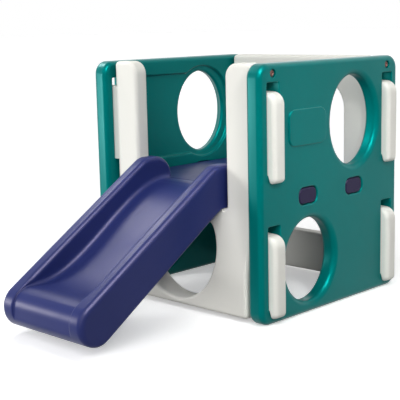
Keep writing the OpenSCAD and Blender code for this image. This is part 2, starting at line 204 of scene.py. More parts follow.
# Plastics and metals
grainSet = {
    "driftScale": 5.0, "driftDetail": 4.0, "driftBand": (0.3, 0.7),
    "handScale": 14.0, "handDetail": 6.0, "handSwing": 0.05,
    "sagScale": 9.0, "sagDetail": 1.0, "sagDepth": 0.02,
    "peelScale": 420.0, "peelDepth": 0.0006, "stainSwing": 0.08,
}
looks = {
    "teal": {"color": (0.0, 0.143, 0.137), "rough": 0.305, "ior": 1.24, "specular": 1.0,
             "sheen": (0.0, 1.0, 0.95), "drift": 0.05, "sag": 0.05, "peel": 0.08},
    "ivory": {"color": (0.8, 0.79, 0.735), "rough": 0.45, "ior": 1.45, "specular": 0.15,
              "sheen": (1.0, 1.0, 1.0), "drift": 0.015, "sag": 0.05, "peel": 0.1},
    "navy": {"color": (0.016, 0.026, 0.132), "rough": 0.36, "ior": 1.3, "specular": 0.44,
             "sheen": (0.95, 0.85, 1.0), "drift": 0.05, "sag": 0.04, "peel": 0.1},
    "deck": {"color": (0.016, 0.024, 0.115), "rough": 0.42, "ior": 1.25, "specular": 0.5,
             "sheen": (0.8, 0.8, 1.0), "drift": 0.05, "sag": 0.04, "peel": 0.12,
             # painted shade on the tabs' ends, and the reach across where it fades in
             "paintedShade": (0.016, 0.011, 0.042), "shadeReach": (0.3, 0.315)},
    "screw": {"dark": (0.07, 0.035, 0.03), "pale": (0.2, 0.1, 0.08), "rough": 0.4, "metallic": 0.8,
              "scale": 300.0},
    "washer": {"dark": (0.12, 0.11, 0.1), "pale": (0.3, 0.29, 0.27), "rough": 0.4, "metallic": 0.9,
               "scale": 240.0},
    "insert": {"dark": (0.5, 0.34, 0.12), "pale": (0.66, 0.48, 0.2), "rough": 0.35, "metallic": 1.0,
               "scale": 240.0},
}


def newMaterial(name):
    mat = bpy.data.materials.new(name)
    mat.use_nodes = True
    nodes = mat.node_tree.nodes
    return mat, nodes, mat.node_tree.links, nodes["Principled BSDF"]


def noise(nodes, links, scale, detail=2.0):
    coord = nodes.new("ShaderNodeTexCoord")
    made = nodes.new("ShaderNodeTexNoise")
    made.inputs["Scale"].default_value = scale
    made.inputs["Detail"].default_value = detail
    links.new(coord.outputs["Object"], made.inputs["Vector"])
    return made.outputs["Fac"]


def ramp(nodes, links, value, dark, pale, band=(0.0, 1.0)):
    made = nodes.new("ShaderNodeValToRGB")
    first, last = made.color_ramp.elements
    first.position, last.position = band
    first.color = (*dark, 1)
    last.color = (*pale, 1)
    links.new(value, made.inputs["Fac"])
    return made.outputs["Color"]


def between(nodes, links, value, low, high):
    made = nodes.new("ShaderNodeMapRange")
    made.inputs["To Min"].default_value = low
    made.inputs["To Max"].default_value = high
    links.new(value, made.inputs["Value"])
    return made.outputs["Result"]


def bump(nodes, links, height, strength, depth, under=None):
    made = nodes.new("ShaderNodeBump")
    made.inputs["Strength"].default_value = strength
    made.inputs["Distance"].default_value = depth
    links.new(height, made.inputs["Height"])
    if under is not None:
        links.new(under, made.inputs["Normal"])
    return made.outputs["Normal"]


def plastic(name, look):
    g = grainSet
    mat, nodes, links, shader = newMaterial(name)
    shader.inputs["IOR"].default_value = look["ior"]
    shader.inputs["Specular IOR Level"].default_value = look["specular"]
    shader.inputs["Specular Tint"].default_value = (*look["sheen"], 1)
    drift = noise(nodes, links, g["driftScale"], g["driftDetail"])  # slow tint drift of the moulded resin
    dark = [c * (1 - look["drift"]) for c in look["color"]]
    pale = [min(1, c * (1 + look["drift"])) for c in look["color"]]
    links.new(ramp(nodes, links, drift, dark, pale, g["driftBand"]), shader.inputs["Base Color"])
    hands = noise(nodes, links, g["handScale"], g["handDetail"])  # where hands and knees have polished it
    low, high = look["rough"] - g["handSwing"], look["rough"] + g["handSwing"]
    links.new(between(nodes, links, hands, low, high), shader.inputs["Roughness"])
    sag = noise(nodes, links, g["sagScale"], g["sagDetail"])  # broad waviness of a cooling shell
    peel = noise(nodes, links, g["peelScale"])  # fine pebble of the mould's blasted face
    wavy = bump(nodes, links, sag, look["sag"], g["sagDepth"])
    links.new(bump(nodes, links, peel, look["peel"], g["peelDepth"], wavy), shader.inputs["Normal"])
    return mat


# painted shade: the platform's tab ends are darkened towards their tips, where they sit in the side panels'
# slots
def shadeTabEnds(mat, look):
    nodes, links = mat.node_tree.nodes, mat.node_tree.links
    bare = nodes["Principled BSDF"].inputs["Base Color"]
    tint = bare.links[0].from_socket
    coord = nodes.new("ShaderNodeTexCoord")
    axes = nodes.new("ShaderNodeSeparateXYZ")
    links.new(coord.outputs["Object"], axes.inputs["Vector"])
    across = nodes.new("ShaderNodeMath")
    across.operation = "ABSOLUTE"
    links.new(axes.outputs["X"], across.inputs[0])
    reach = nodes.new("ShaderNodeMapRange")
    reach.inputs["From Min"].default_value, reach.inputs["From Max"].default_value = look["shadeReach"]
    links.new(across.outputs["Value"], reach.inputs["Value"])
    blend = nodes.new("ShaderNodeMixRGB")
    links.new(reach.outputs["Result"], blend.inputs["Fac"])
    links.new(tint, blend.inputs["Color1"])
    blend.inputs["Color2"].default_value = (*look["paintedShade"], 1)
    links.new(blend.outputs["Color"], bare)


def metal(name, look):
    swing = grainSet["stainSwing"]
    mat, nodes, links, shader = newMaterial(name)
    shader.inputs["Metallic"].default_value = look["metallic"]
    stain = noise(nodes, links, look["scale"])
    links.new(ramp(nodes, links, stain, look["dark"], look["pale"]), shader.inputs["Base Color"])
    gloss = between(nodes, links, stain, look["rough"] - swing, look["rough"] + swing)
    links.new(gloss, shader.inputs["Roughness"])
    return mat


tealMat = plastic("tealPlastic", looks["teal"])
ivoryMat = plastic("ivoryPlastic", looks["ivory"])
navyMat = plastic("navyPlastic", looks["navy"])
deckMat = plastic("deckPlastic", looks["deck"])
shadeTabEnds(deckMat, looks["deck"])  # painted shade: the tabs' ends are darkened where they sit in their slots
screwMat = metal("zincScrew", looks["screw"])
washerMat = metal("zincWasher", looks["washer"])
insertMat = metal("turnedBrass", looks["insert"])
print("stage: materials")


def claim(made, mat, slot, body, *nodes):
    made.data.materials.clear()
    made.data.materials.append(mat)
    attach(made, body)
    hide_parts(*nodes)


# Side panels, with y counted from their front edges
sideSet = {
    "depth": 633.0, "height": 698.0, "thick": 50.0, "innerX": 275.0, "corner": 38.0, "edge": 14.0,
    "highHole": (418.0, 522.0, 109.0, 128.5), "lowHole": (214.0, 150.0, 108.7, 117.6),
    "rim": 17.0, "innerRim": 9.0, "holeDraft": 7.0,
    "recessLeft": 112.0, "recessLow": 389.0, "recessTop": 647.0, "recessCorner": 34.0,
    "recessRing": 126.0, "recessRun": 20.0, "recessBlend": 20.0,
    "recessDepth": 12.0, "recessBrow": 5.0, "recessFoot": 6.0,
    "cornerSteps": 10, "blendSteps": 6, "ringSteps": 40,
    "slotY": ((30.25, 79.75), (553.25, 602.75)), "slotZ": ((42.0, 269.0), (407.0, 649.0)),
    "slotCorner": 4.0, "slotEdge": 3.0,
    "deckSlotY": (201.0, 414.0), "deckSlotHalf": 40.2, "deckSlotZ": (308.0, 356.2),
    "deckSlotCorner": 20.0, "deckSlotEdge": 4.0,
    "screwY": (55.0, 578.0), "screwZ": 672.0, "boreR": 11.3, "boreDepth": 9.0, "boreBlend": 0.6,
    "shankR": 3.6, "shankEdge": 0.4, "shankSides": 24,
    "pad": (116.0, 473.0, 276.0, 571.0), "padCorner": 24.0, "padRise": 5.0, "padFoot": 1.5, "padBrow": 2.5,
}


def recessLoop(s):
    u, v = s["highHole"][:2]
    ring, run, blend = s["recessRing"], s["recessRun"], s["recessBlend"]
    low, top, left, corner = s["recessLow"], s["recessTop"], s["recessLeft"], s["recessCorner"]
    cornerSteps, blendSteps, ringSteps = s["cornerSteps"], s["blendSteps"], s["ringSteps"]
    reach = ring + blend
    lowU = u - math.sqrt(reach ** 2 - (v - run - low + blend) ** 2)
    topU = u - math.sqrt(reach ** 2 - (top - v - run + blend) ** 2)
    lowTurn = math.degrees(math.atan2(v - run - low + blend, u - lowU))
    topTurn = math.degrees(math.atan2(v + run - top - blend, u - topU))
    return arcLoop([
        (left + corner, low + corner, corner, 180, 270, 1, cornerSteps),
        (lowU, low - blend, blend, 90, lowTurn, -1, blendSteps),
        (u, v - run, ring, lowTurn - 180, 0, 1, ringSteps),
        (u, v + run, ring, 0, topTurn + 180, 1, ringSteps),
        (topU, top + blend, blend, topTurn, -90, -1, blendSteps),
        (left + corner, top - corner, corner, 90, 180, 1, cornerSteps),
    ])


def throughHoles(s):
    loops = [ovalLoop(*s["lowHole"], s["rim"])]
    for y in s["slotY"]:
        for z in s["slotZ"]:
            slot = boxCorners(y[0], z[0], y[1], z[1], s["slotCorner"], s["slotEdge"])
            loops.append(cornerLoop(slot, steps=5))
    low, top = s["deckSlotZ"]
    for y in s["deckSlotY"]:
        slot = boxCorners(y - s["deckSlotHalf"], low, y + s["deckSlotHalf"], top,
                          s["deckSlotCorner"], s["deckSlotEdge"])
        loops.append(cornerLoop(slot, steps=7))
    return [asHole(loop) for loop in loops]


def buildSidePanel(name, sign):
    s = sideSet
    thick = s["thick"]
    bm = bmesh.new()

    def place(u, v, w):
        return (sign * (s["innerX"] + w) * mm, (u + frontY) * mm, v * mm)

    inner, outer, floor = [], [], []
    shape = cornerLoop(boxCorners(0, 0, s["depth"], s["height"], s["corner"], s["edge"]), steps=14)
    for loop in [shape] + throughHoles(s):
        first, last = wall(bm, loop, 0.0, thick, place)
        inner.append(first)
        outer.append(last)
    high = asHole(ovalLoop(*s["highHole"], s["rim"]))
    draft = s["holeDraft"] * abs(high["normals"][:, 0])  # the hole narrows inwards, but keeps its height
    first, last = wall(bm, high, s["recessDepth"], thick, place, lowEdge=s["innerRim"], draft=draft)
    floor.append(first)
    outer.append(last)
    # the recess in the inner face is drawn with depth counted the other way
    first, last = step(bm, asHole(recessLoop(s)), 0.0, -s["recessDepth"], s["recessFoot"], s["recessBrow"],
                       lambda u, v, w: place(u, v, -w))
    inner.append(first)
    floor.append(last)
    pad = cornerLoop(boxCorners(*s["pad"], s["padCorner"]))
    first, last = step(bm, pad, thick, thick + s["padRise"], s["padFoot"], s["padBrow"], place)
    outer.append(first)
    fill(bm, [last])
    seat = thick - s["boreDepth"]
    for y in s["screwY"]:
        bore = asHole(circleLoop(y, s["screwZ"], s["boreR"]))
        first, last = step(bm, bore, thick, seat, s["boreBlend"], s["boreBlend"], place, steps=4)
        outer.append(first)
        shank = asHole(circleLoop(y, s["screwZ"], s["shankR"], s["shankEdge"], s["shankSides"]))
        first, through = wall(bm, shank, 0.0, seat, place, steps=2)
        inner.append(first)
        fill(bm, [last, through])
    fill(bm, inner)
    fill(bm, outer)
    fill(bm, floor)
    return toObject(name, bm)


for name, node, sign in (("rightSidePanel", "right_side_panel", 1), ("leftSidePanel", "left_side_panel", -1)):
    claim(buildSidePanel(name, sign), tealMat, "teal_plastic", "gym", node)
print("stage: side panels")

# End panels with their hooked tabs
endSet = {
    "half": 266.0, "lift": 10.0, "height": sideSet["height"], "corner": 14.0, "edge": 12.0,
    "front": 31.0, "back": 79.0,
    "notchHalf": 174.0, "bridge": 302.0, "notchCorner": 8.0, "postCorner": 38.0,
    "holeR": 146.0, "holeZ": 176.0, "holeTop": 262.0, "holeTopR": 34.0, "holeEdge": 9.0,
    "holeSteps": 72, "holeTopSteps": 14,
    "kick": 26.0, "knee": 120.0, "softShare": 0.12, "levels": 19, "weld": 1e-7,
    "backHalf": 182.0, "backEdge": 10.0, "backLow": (136.0, 308.0), "backLowCorner": 46.0,
    "backHigh": (356.0, 625.0), "backHighCorner": 10.0, "backTopCorner": 90.0,
    "tabFace": 325.3, "tabOut": 349.0, "tabRoot": 256.0, "tabs": ((20.0, 225.0), (385.0, 240.0)),
    "tabDrop": 22.3, "tabTop": 34.0, "tabLow": 14.0, "tabEdge": 13.0, "tabToe": 9.0, "toeEdge": 8.0,
    "neckCorner": 0.8, "neckEdge": 1.0,
}


def addTabs(bm, s, flip):
    neckEnd = (s["neckCorner"], s["neckEdge"])
    for z, height in s["tabs"]:
        neck = z + s["tabDrop"]
        loop = cornerLoop([
            (s["tabRoot"], neck, *neckEnd),
            (s["tabFace"], neck, *neckEnd),
            (s["tabFace"], z, s["tabToe"], s["toeEdge"]),
            (s["tabOut"], z, s["tabLow"], s["tabEdge"]),
            (s["tabOut"], z + height, s["tabTop"], s["tabEdge"]),
            (s["tabRoot"], z + height, *neckEnd)], steps=9)
        for sign in (1, -1):
            rings = wall(bm, loop, s["front"], s["back"],
                         lambda u, v, w: (sign * u * mm, (flip(w) + frontY) * mm, v * mm))
            for ring in rings:
                fill(bm, [ring])


def kickShift(z):
    s = endSet
    t = (z - s["knee"]) / (s["bridge"] - s["knee"])
    soft = s["softShare"]
    if t <= -soft:
        return 0.0
    if t < soft:
        return s["kick"] * (t + soft) ** 2 / (4 * soft)
    if t < 1 - soft:
        return s["kick"] * t
    if t < 1 + soft:
        return s["kick"] * (1 - (1 + soft - t) ** 2 / (4 * soft))
    return s["kick"]


def frontHole(s):
    lift = s["holeTop"] - s["holeTopR"] - s["holeZ"]
    side = math.sqrt((s["holeR"] - s["holeTopR"]) ** 2 - lift ** 2)
    tip = math.degrees(math.atan2(lift, side))
    z, r, steps = s["holeZ"] + lift, s["holeTopR"], s["holeTopSteps"]
    return arcLoop([
        (0, s["holeZ"], s["holeR"], 180 - tip, 360 + tip, 1, s["holeSteps"]),
        (side, z, r, tip, 90, 1, steps),
        (-side, z, r, 90, 180 - tip, 1, steps),
    ], s["holeEdge"])


def buildFrontPanel():
    s = endSet
    bm = bmesh.new()
    half, top, notch = s["half"], s["height"], s["notchHalf"]
    front = s["front"] - s["kick"]

    def place(u, v, w):
        return (u * mm, (w + frontY) * mm, v * mm)

    right = [(half, s["lift"], s["corner"], s["edge"]), (half, top, s["corner"], s["edge"]),
             (notch, top, s["postCorner"], s["edge"]), (notch, s["bridge"], s["notchCorner"], s["edge"])]
    left = [(-u, v, r, e) for u, v, r, e in right[::-1]]
    near, far = [], []
    for loop in (cornerLoop(right + left, steps=12), asHole(frontHole(s))):
        first, last = wall(bm, loop, front, s["back"], place)
        near.append(first)
        far.append(last)
    fill(bm, near)
    fill(bm, far)
    # level cuts between the posts and the foot let the front face lean back smoothly
    ease = s["softShare"] * (s["bridge"] - s["knee"])
    low, high = s["knee"] - ease, s["bridge"] + ease
    for k in range(s["levels"]):
        z = low + (high - low) * k / (s["levels"] - 1)
        bmesh.ops.bisect_plane(bm, geom=bm.verts[:] + bm.edges[:] + bm.faces[:], dist=s["weld"],
                               plane_co=(0, 0, z * mm), plane_no=(0, 0, 1))
    middle = (0.5 * (front + s["back"]) + frontY) * mm
    for vert in bm.verts:
        if vert.co.y < middle:
            vert.co.y += kickShift(vert.co.z / mm) * mm
    addTabs(bm, s, lambda w: w)
    return toObject("frontPanel", bm)


def buildBackPanel():
    s = endSet
    bm = bmesh.new()
    half, wide, edge = s["half"], s["backHalf"], s["backEdge"]
    depth = sideSet["depth"]

    def place(u, v, w):
        return (u * mm, (depth - w + frontY) * mm, v * mm)

    low, top = s["backLow"]
    sill, crown = s["backHigh"]
    corner, arch = s["backHighCorner"], s["backTopCorner"]
    shape = cornerLoop(boxCorners(-half, s["lift"], half, s["height"], s["corner"], s["edge"]), steps=12)
    lower = cornerLoop(boxCorners(-wide, low, wide, top, s["backLowCorner"], edge), steps=14)
    upper = cornerLoop([(-wide, sill, corner, edge), (wide, sill, corner, edge),
                        (wide, crown, arch, edge), (-wide, crown, arch, edge)], steps=16)
    near, far = [], []
    for loop in (shape, asHole(lower), asHole(upper)):
        first, last = wall(bm, loop, s["front"], s["back"], place)
        near.append(first)
        far.append(last)
    fill(bm, near)
    fill(bm, far)
    addTabs(bm, s, lambda w: depth - w)
    return toObject("backPanel", bm)


claim(buildFrontPanel(), ivoryMat, "ivory_plastic", "gym", "front_panel")
claim(buildBackPanel(), ivoryMat, "ivory_plastic", "gym", "back_panel")
print("stage: end panels")

# Platform
deckSet = {
    "halfX": 274.0, "front": 95.0, "back": 553.0, "low": 308.0, "top": 356.0, "corner": 12.0, "edge": 5.0,
    "tabY": sideSet["deckSlotY"], "tabHalf": 38.0, "tabLow": 310.0, "tabTop": 354.2,
    "tabCorner": 18.0, "tabRoot": 250.0, "tabEnd": 324.0, "tabEdge": 4.5,
}


def buildPlatform():
    s = deckSet
    bm = bmesh.new()
    shape = boxCorners(-s["halfX"], s["front"], s["halfX"], s["back"], s["corner"], s["edge"])
    for ring in wall(bm, cornerLoop(shape, steps=8), s["low"], s["top"],
                     lambda u, v, w: (u * mm, (v + frontY) * mm, w * mm)):
        fill(bm, [ring])
    for y in s["tabY"]:
        tab = boxCorners(y - s["tabHalf"], s["tabLow"], y + s["tabHalf"], s["tabTop"],
                         s["tabCorner"], s["tabEdge"])
        for sign in (1, -1):
            for ring in wall(bm, cornerLoop(tab, steps=9), s["tabRoot"], s["tabEnd"],
                             lambda u, v, w: (sign * w * mm, (u + frontY) * mm, v * mm)):
                fill(bm, [ring])
    return toObject("platform", bm)


claim(buildPlatform(), deckMat, "deck_plastic", "gym", "platform")
print("stage: platform")

# Slide, drawn as rows along its side view and columns across it
slideSet = {
    "half": 163.0, "troughHalf": 116.5, "nose": (-426.0, 78.0), "noseR": 58.0,
    "crown": (31.0, 362.3), "crownR": 60.0, "rear": 94.0, "rearMid": 330.0, "rearDrop": 2.0,
    "lip": (-426.0, 78.0), "lipR": 52.0, "bedStart": (79.0, 356.0), "bedEnd": (-392.0, 130.0),
    "bedLap": 30.0, "reach": 150.7, "deck": deckSet["top"],
    "lapRear": 114.0, "lapGap": 0.4, "lapToe": 4.0, "lapRoot": 1.0, "lapLean": (0.7, -0.7),
    "seat": (30.7, 302.3), "seatRun": 4.0, "hookLow": 278.3, "hookFront": 79.3, "hookCut": 3.0,
    "troughStop": 215.0, "troughMax": 40.0, "edgeFade": (200.0, 270.0),
    "topEdge": 16.0, "lowEdge": 9.0, "hookEdge": 2.0, "lapEdge": 6.0, "seatEdges": (6.0, 4.0),
    "rim": 15.0, "fillet": 17.0, "blendMin": 6.0,
    "bedSteps": 80, "lipSteps": 30, "heelSteps": 18, "crownSteps": 8, "flankSteps": 40, "noseSteps": 48,
    "bellySteps": 12, "arcSteps": 7, "rimSteps": 3, "wallSteps": 4, "floorSteps": 6,
    "foot": (-378.0, -338.0), "footHalf": 75.0, "footFlare": 8.0, "footTop": 90.0,
    "footCorner": 4.0, "footTopCorner": 1.0, "footEdge": 5.0,
    "parallel": 1e-9, "sharp": 45.0,
}


def bedPoints(s):
    a, b, reach = np.array(s["bedStart"]), np.array(s["bedEnd"]), np.array((s["reach"], 0.0))
    points = [np.array((s["rear"] + s["bedLap"], s["deck"]))]
    for k in range(s["bedSteps"] + 1):
        t = k / s["bedSteps"]
        upper = (1 - t) ** 3 * a + 3 * (1 - t) ** 2 * t * (a - reach)
        lower = 3 * (1 - t) * t * t * (b + reach) + t ** 3 * b
        points.append(upper + lower)
    for k in range(s["lipSteps"] + 1):
        points.append(np.array(s["lip"]) + s["lipR"] * direction(90 + 90 * k / s["lipSteps"]))
    points.append(np.array((points[-1][0], 0.0)))
    return np.array(points)


def depthTo(s, bed, start, heading):
    best = None
    for p, q in zip(bed, bed[1:]):
        run = q - p
        cross = heading[0] * run[1] - heading[1] * run[0]
        if abs(cross) < s["parallel"]:
            continue
        gap = p - start
        far = (gap[0] * run[1] - gap[1] * run[0]) / cross
        along = (gap[0] * heading[1] - gap[1] * heading[0]) / cross
        if far > -tiny and -tiny <= along <= 1 + tiny and (best is None or far < best):
            best = far
    return best


def slideRows(s):
    nose, crown, seat = np.array(s["nose"]), np.array(s["crown"]), np.array(s["seat"])
    run = crown - nose
    slope = math.degrees(math.atan2(run[1], run[0]))
    taper = math.degrees(math.asin((s["crownR"] - s["noseR"]) / np.linalg.norm(run)))
    lean = 90 + slope + taper
    under = seat - nose
    tilt = math.degrees(math.atan2(under[1], under[0]) + math.asin(s["noseR"] / np.linalg.norm(under)))
    bed = bedPoints(s)
    rows = []  # point, outward normal, edge radius, trough depth, trough heading

    def add(point, normal, edge, depth=0.0, heading=None):
        rows.append((np.array(point, float), np.array(normal, float), edge, depth, heading))

    def addLap(point, normal, edge):
        way = np.array((s["rear"] - s["lapRoot"], s["deck"])) - point  # the lap stands on the walls only
        add(point, normal, edge, np.linalg.norm(way), way / np.linalg.norm(way))

    def addTrough(point, normal, edge, heading):
        add(point, normal, edge, depthTo(s, bed, point, heading), heading)

    rear, deck, lap = s["rear"], s["deck"], s["lapRear"]
    hook, cut, hookLow = s["hookEdge"], s["hookCut"], s["hookLow"]
    add((rear, hookLow + cut), (1, 0), hook)
    add((rear, s["rearMid"]), (1, 0), hook)
    add((rear, deck - s["rearDrop"]), (1, 0), hook)
    addLap((rear, deck + s["lapGap"]), s["lapLean"], hook)
    addLap((lap - s["lapToe"], deck + s["lapGap"]), (0, -1), hook)
    addLap((lap, deck + s["lapGap"] + cut), (1, 0), hook)

    heel = np.array((lap - s["crownR"], crown[1]))
    for k in range(s["heelSteps"] + 1):
        share = k / s["heelSteps"]
        d = direction(90.0 * share)
        p = heel + s["crownR"] * d
        edge = s["lapEdge"] + (s["topEdge"] - s["lapEdge"]) * share
        if p[0] > rear - s["lapRoot"]:
            addLap(p, d, edge)
        else:
            addTrough(p, d, edge, np.array((0.0, -1.0)))
    for k in range(1, s["crownSteps"] + 1):
        d = direction(90 + (lean - 90) * k / s["crownSteps"])
        addTrough(crown + s["crownR"] * d, d, s["topEdge"], -d)
    d = direction(lean)
    first, last = crown + s["crownR"] * d, nose + s["noseR"] * d
    for k in range(1, s["flankSteps"] + 1):
        addTrough(first + (last - first) * k / s["flankSteps"], d, s["topEdge"], -d)

    fadeStart, fadeStop = s["edgeFade"]
    for k in range(1, s["noseSteps"] + 1):
        angle = lean + (270 + tilt - lean) * k / s["noseSteps"]
        d = direction(angle)
        p = nose + s["noseR"] * d
        deep = depthTo(s, bed, p, -d) if angle < s["troughStop"] else None
        deep = 0.0 if deep is None or deep > s["troughMax"] else max(0.0, deep)
        fade = min(1.0, max(0.0, (angle - fadeStart) / (fadeStop - fadeStart)))
        add(p, d, s["topEdge"] + (s["lowEdge"] - s["topEdge"]) * fade, deep, -d)

    first, below = rows[-1][:2]
    for k in range(1, s["bellySteps"]):
        add(first + (seat - first) * k / s["bellySteps"], below, s["lowEdge"])
    way = (seat - first) / np.linalg.norm(seat - first)
    add(seat - way * s["seatRun"], below, s["seatEdges"][0])
    add(seat + (s["seatRun"], 0), (0, -1), s["seatEdges"][1])
    front, level = s["hookFront"], seat[1]
    add((front - cut, level), (0, -1), hook)
    add((front, level - cut), (-1, 0), hook)
    add((front, hookLow + cut), (-1, 0), hook)
    add((front + cut, hookLow), (0, -1), hook)
    add((rear - cut, hookLow), (0, -1), hook)
    return rows


def slideSection(s, row):
    point, normal, edge, depth, heading = row
    heading = -normal if heading is None else heading
    half, inner = s["half"], s["troughHalf"]
    rim, fillet = min(s["rim"], depth / 2), min(s["fillet"], depth / 2)
    rimX, filletX = max(rim, s["blendMin"]), max(fillet, s["blendMin"])
    turns = quarterTurn(s["arcSteps"])
    line = []  # distance from the middle, inset along the normal, depth along the heading
    for a in turns:
        line.append((half - edge * (1 - math.cos(a)), edge * (1 - math.sin(a)), 0.0))
    start, stop = half - edge, inner + rimX
    for k in range(1, s["rimSteps"]):
        line.append((start + (stop - start) * k / s["rimSteps"], 0.0, 0.0))
    for a in turns:
        line.append((inner + rimX * (1 - math.sin(a)), 0.0, rim * (1 - math.cos(a))))
    for k in range(1, s["wallSteps"]):
        line.append((inner, 0.0, rim + (depth - fillet - rim) * k / s["wallSteps"]))
    for a in turns:
        line.append((inner - filletX * (1 - math.cos(a)), 0.0, depth - fillet * (1 - math.sin(a))))
    for k in range(1, s["floorSteps"] + 1):
        line.append(((inner - filletX) * (1 - k / s["floorSteps"]), 0.0, depth))
    spots = [(x, point - normal * inset + heading * deep) for x, inset, deep in line]
    return spots + [(-x, p) for x, p in spots[-2::-1]]


def addFoot(bm, s):
    front, back = s["foot"]
    top, flare, edge = s["footTop"], s["footFlare"], s["footEdge"]
    foot = cornerLoop([(front, 0, s["footCorner"], edge), (back, 0, s["footCorner"], edge),
                       (back + flare, top, s["footTopCorner"], edge),
                       (front - flare, top, s["footTopCorner"], edge)], steps=6)
    for ring in wall(bm, foot, -s["footHalf"], s["footHalf"],
                     lambda u, v, w: (w * mm, (u + frontY) * mm, v * mm)):
        fill(bm, [ring])


def buildSlide():
    s = slideSet
    bm = bmesh.new()
    grid = []
    for row in slideRows(s):
        spots = slideSection(s, row)
        grid.append([bm.verts.new((x * mm, (p[0] + frontY) * mm, p[1] * mm)) for x, p in spots])
    for i in range(len(grid)):
        j = (i + 1) % len(grid)
        for c in range(len(grid[0]) - 1):
            bm.faces.new((grid[i][c], grid[j][c], grid[j][c + 1], grid[i][c + 1]))
    for column in (0, -1):
        fill(bm, [[row[column] for row in grid]])
    addFoot(bm, s)
    return toObject("slideShell", bm, s["sharp"])


claim(buildSlide(), navyMat, "slide_plastic", "slide_body", "slide")
print("stage: slide")

# Screws and washers, set at the four corners
screwSet = {
    "seat": 317.6, "rootX": 250.0, "shank": 3.0, "tipTaper": 0.8, "tipLength": 1.0,
    "head": 9.0, "headRise": 5.0, "headChamfer": 0.3, "brow": 3.0, "browStretch": 1.6, "browSteps": 6,
    "crossHalf": 4.5, "crossWidth": 1.0, "crossDepth": 2.4,
    "washer": 10.5, "bore": 3.6, "washerThick": 1.6,
    "footChamfer": 0.3, "rollHigh": 0.5, "rollWide": 0.6, "boreChamfer": 0.4,
    "y": sideSet["screwY"], "z": sideSet["screwZ"], "sides": 40, "sharp": 40.0,
}


def lathe(bm, profile, count):
    rings = []
    for x, r in profile:
        rings.append([bm.verts.new((x * mm, r * mm * math.cos(2 * math.pi * k / count),
                                    r * mm * math.sin(2 * math.pi * k / count))) for k in range(count)])
    joinRings(bm, rings)
    return rings


def screwMesh():
    s = screwSet
    bm = bmesh.new()
    tip = s["rootX"] - s["seat"]
    chamfer = s["headChamfer"]
    profile = [(tip, s["shank"] - s["tipTaper"]), (tip + s["tipLength"], s["shank"]), (0.0, s["shank"]),
               (0.0, s["head"] - chamfer), (chamfer, s["head"]), (s["headRise"] - s["brow"], s["head"])]
    for a in quarterTurn(s["browSteps"])[1:]:
        inset = s["brow"] * s["browStretch"] * (1 - math.cos(a))
        profile.append((s["headRise"] - s["brow"] * (1 - math.sin(a)), s["head"] - inset))
    rings = lathe(bm, profile, s["sides"])
    bm.faces.new(rings[0])
    bm.faces.new(rings[-1])
    made = toObject("screwBlank", bm, s["sharp"])
    cutBm = bmesh.new()
    for turn in (0, 90):
        spot = Matrix.Translation((s["headRise"] * mm, 0, 0)) @ Matrix.Rotation(math.radians(turn), 4, "X")
        size = Matrix.Diagonal([2 * s[k] * mm for k in ("crossDepth", "crossHalf", "crossWidth")] + [1])
        bmesh.ops.create_cube(cutBm, size=1.0, matrix=spot @ size)
    cutter = toObject("crossCutter", cutBm)
    cut = made.modifiers.new("cross", "BOOLEAN")
    cut.object = cutter
    cut.use_self = True
    bpy.context.view_layer.update()
    mesh = bpy.data.meshes.new_from_object(made.evaluated_get(bpy.context.evaluated_depsgraph_get()))
    for used in (made, cutter):
        bpy.data.objects.remove(used)
    return mesh


def washerMesh():
    s = screwSet
    bm = bmesh.new()
    thick, outer, bore = s["washerThick"], s["washer"], s["bore"]
    foot, inside = s["footChamfer"], s["boreChamfer"]
    profile = [(0, bore), (0, outer - foot), (foot, outer), (thick - s["rollHigh"], outer),
               (thick, outer - s["rollWide"]), (thick, bore + inside), (thick - inside, bore), (0, bore)]
    lathe(bm, profile, s["sides"])
    made = toObject("washerBlank", bm, s["sharp"])
    mesh = made.data
    bpy.data.objects.remove(made)
    return mesh


def repeatTree(name):
    tree = bpy.data.node_groups.new(name + "Repeat", "GeometryNodeTree")
    tree.interface.new_socket("Geometry", in_out="INPUT", socket_type="NodeSocketGeometry")
    tree.interface.new_socket("Geometry", in_out="OUTPUT", socket_type="NodeSocketGeometry")
    piece = tree.interface.new_socket("Piece", in_out="INPUT", socket_type="NodeSocketObject")
    finish = tree.interface.new_socket("Finish", in_out="INPUT", socket_type="NodeSocketMaterial")
    nodes, links = tree.nodes, tree.links
    source, sink = nodes.new("NodeGroupInput"), nodes.new("NodeGroupOutput")
    info = nodes.new("GeometryNodeObjectInfo")
    spin = nodes.new("GeometryNodeInputNamedAttribute")
    spin.data_type = "FLOAT_VECTOR"
    spin.inputs["Name"].default_value = "turn"
    scatter = nodes.new("GeometryNodeInstanceOnPoints")
    real = nodes.new("GeometryNodeRealizeInstances")
    paint = nodes.new("GeometryNodeSetMaterial")
    links.new(source.outputs["Geometry"], scatter.inputs["Points"])
    links.new(source.outputs["Piece"], info.inputs["Object"])
    links.new(info.outputs["Geometry"], scatter.inputs["Instance"])
    links.new(spin.outputs["Attribute"], scatter.inputs["Rotation"])
    links.new(scatter.outputs["Instances"], real.inputs["Geometry"])
    links.new(real.outputs["Geometry"], paint.inputs["Geometry"])
    links.new(source.outputs["Finish"], paint.inputs["Material"])
    links.new(paint.outputs["Geometry"], sink.inputs["Geometry"])
    return tree, piece.identifier, finish.identifier


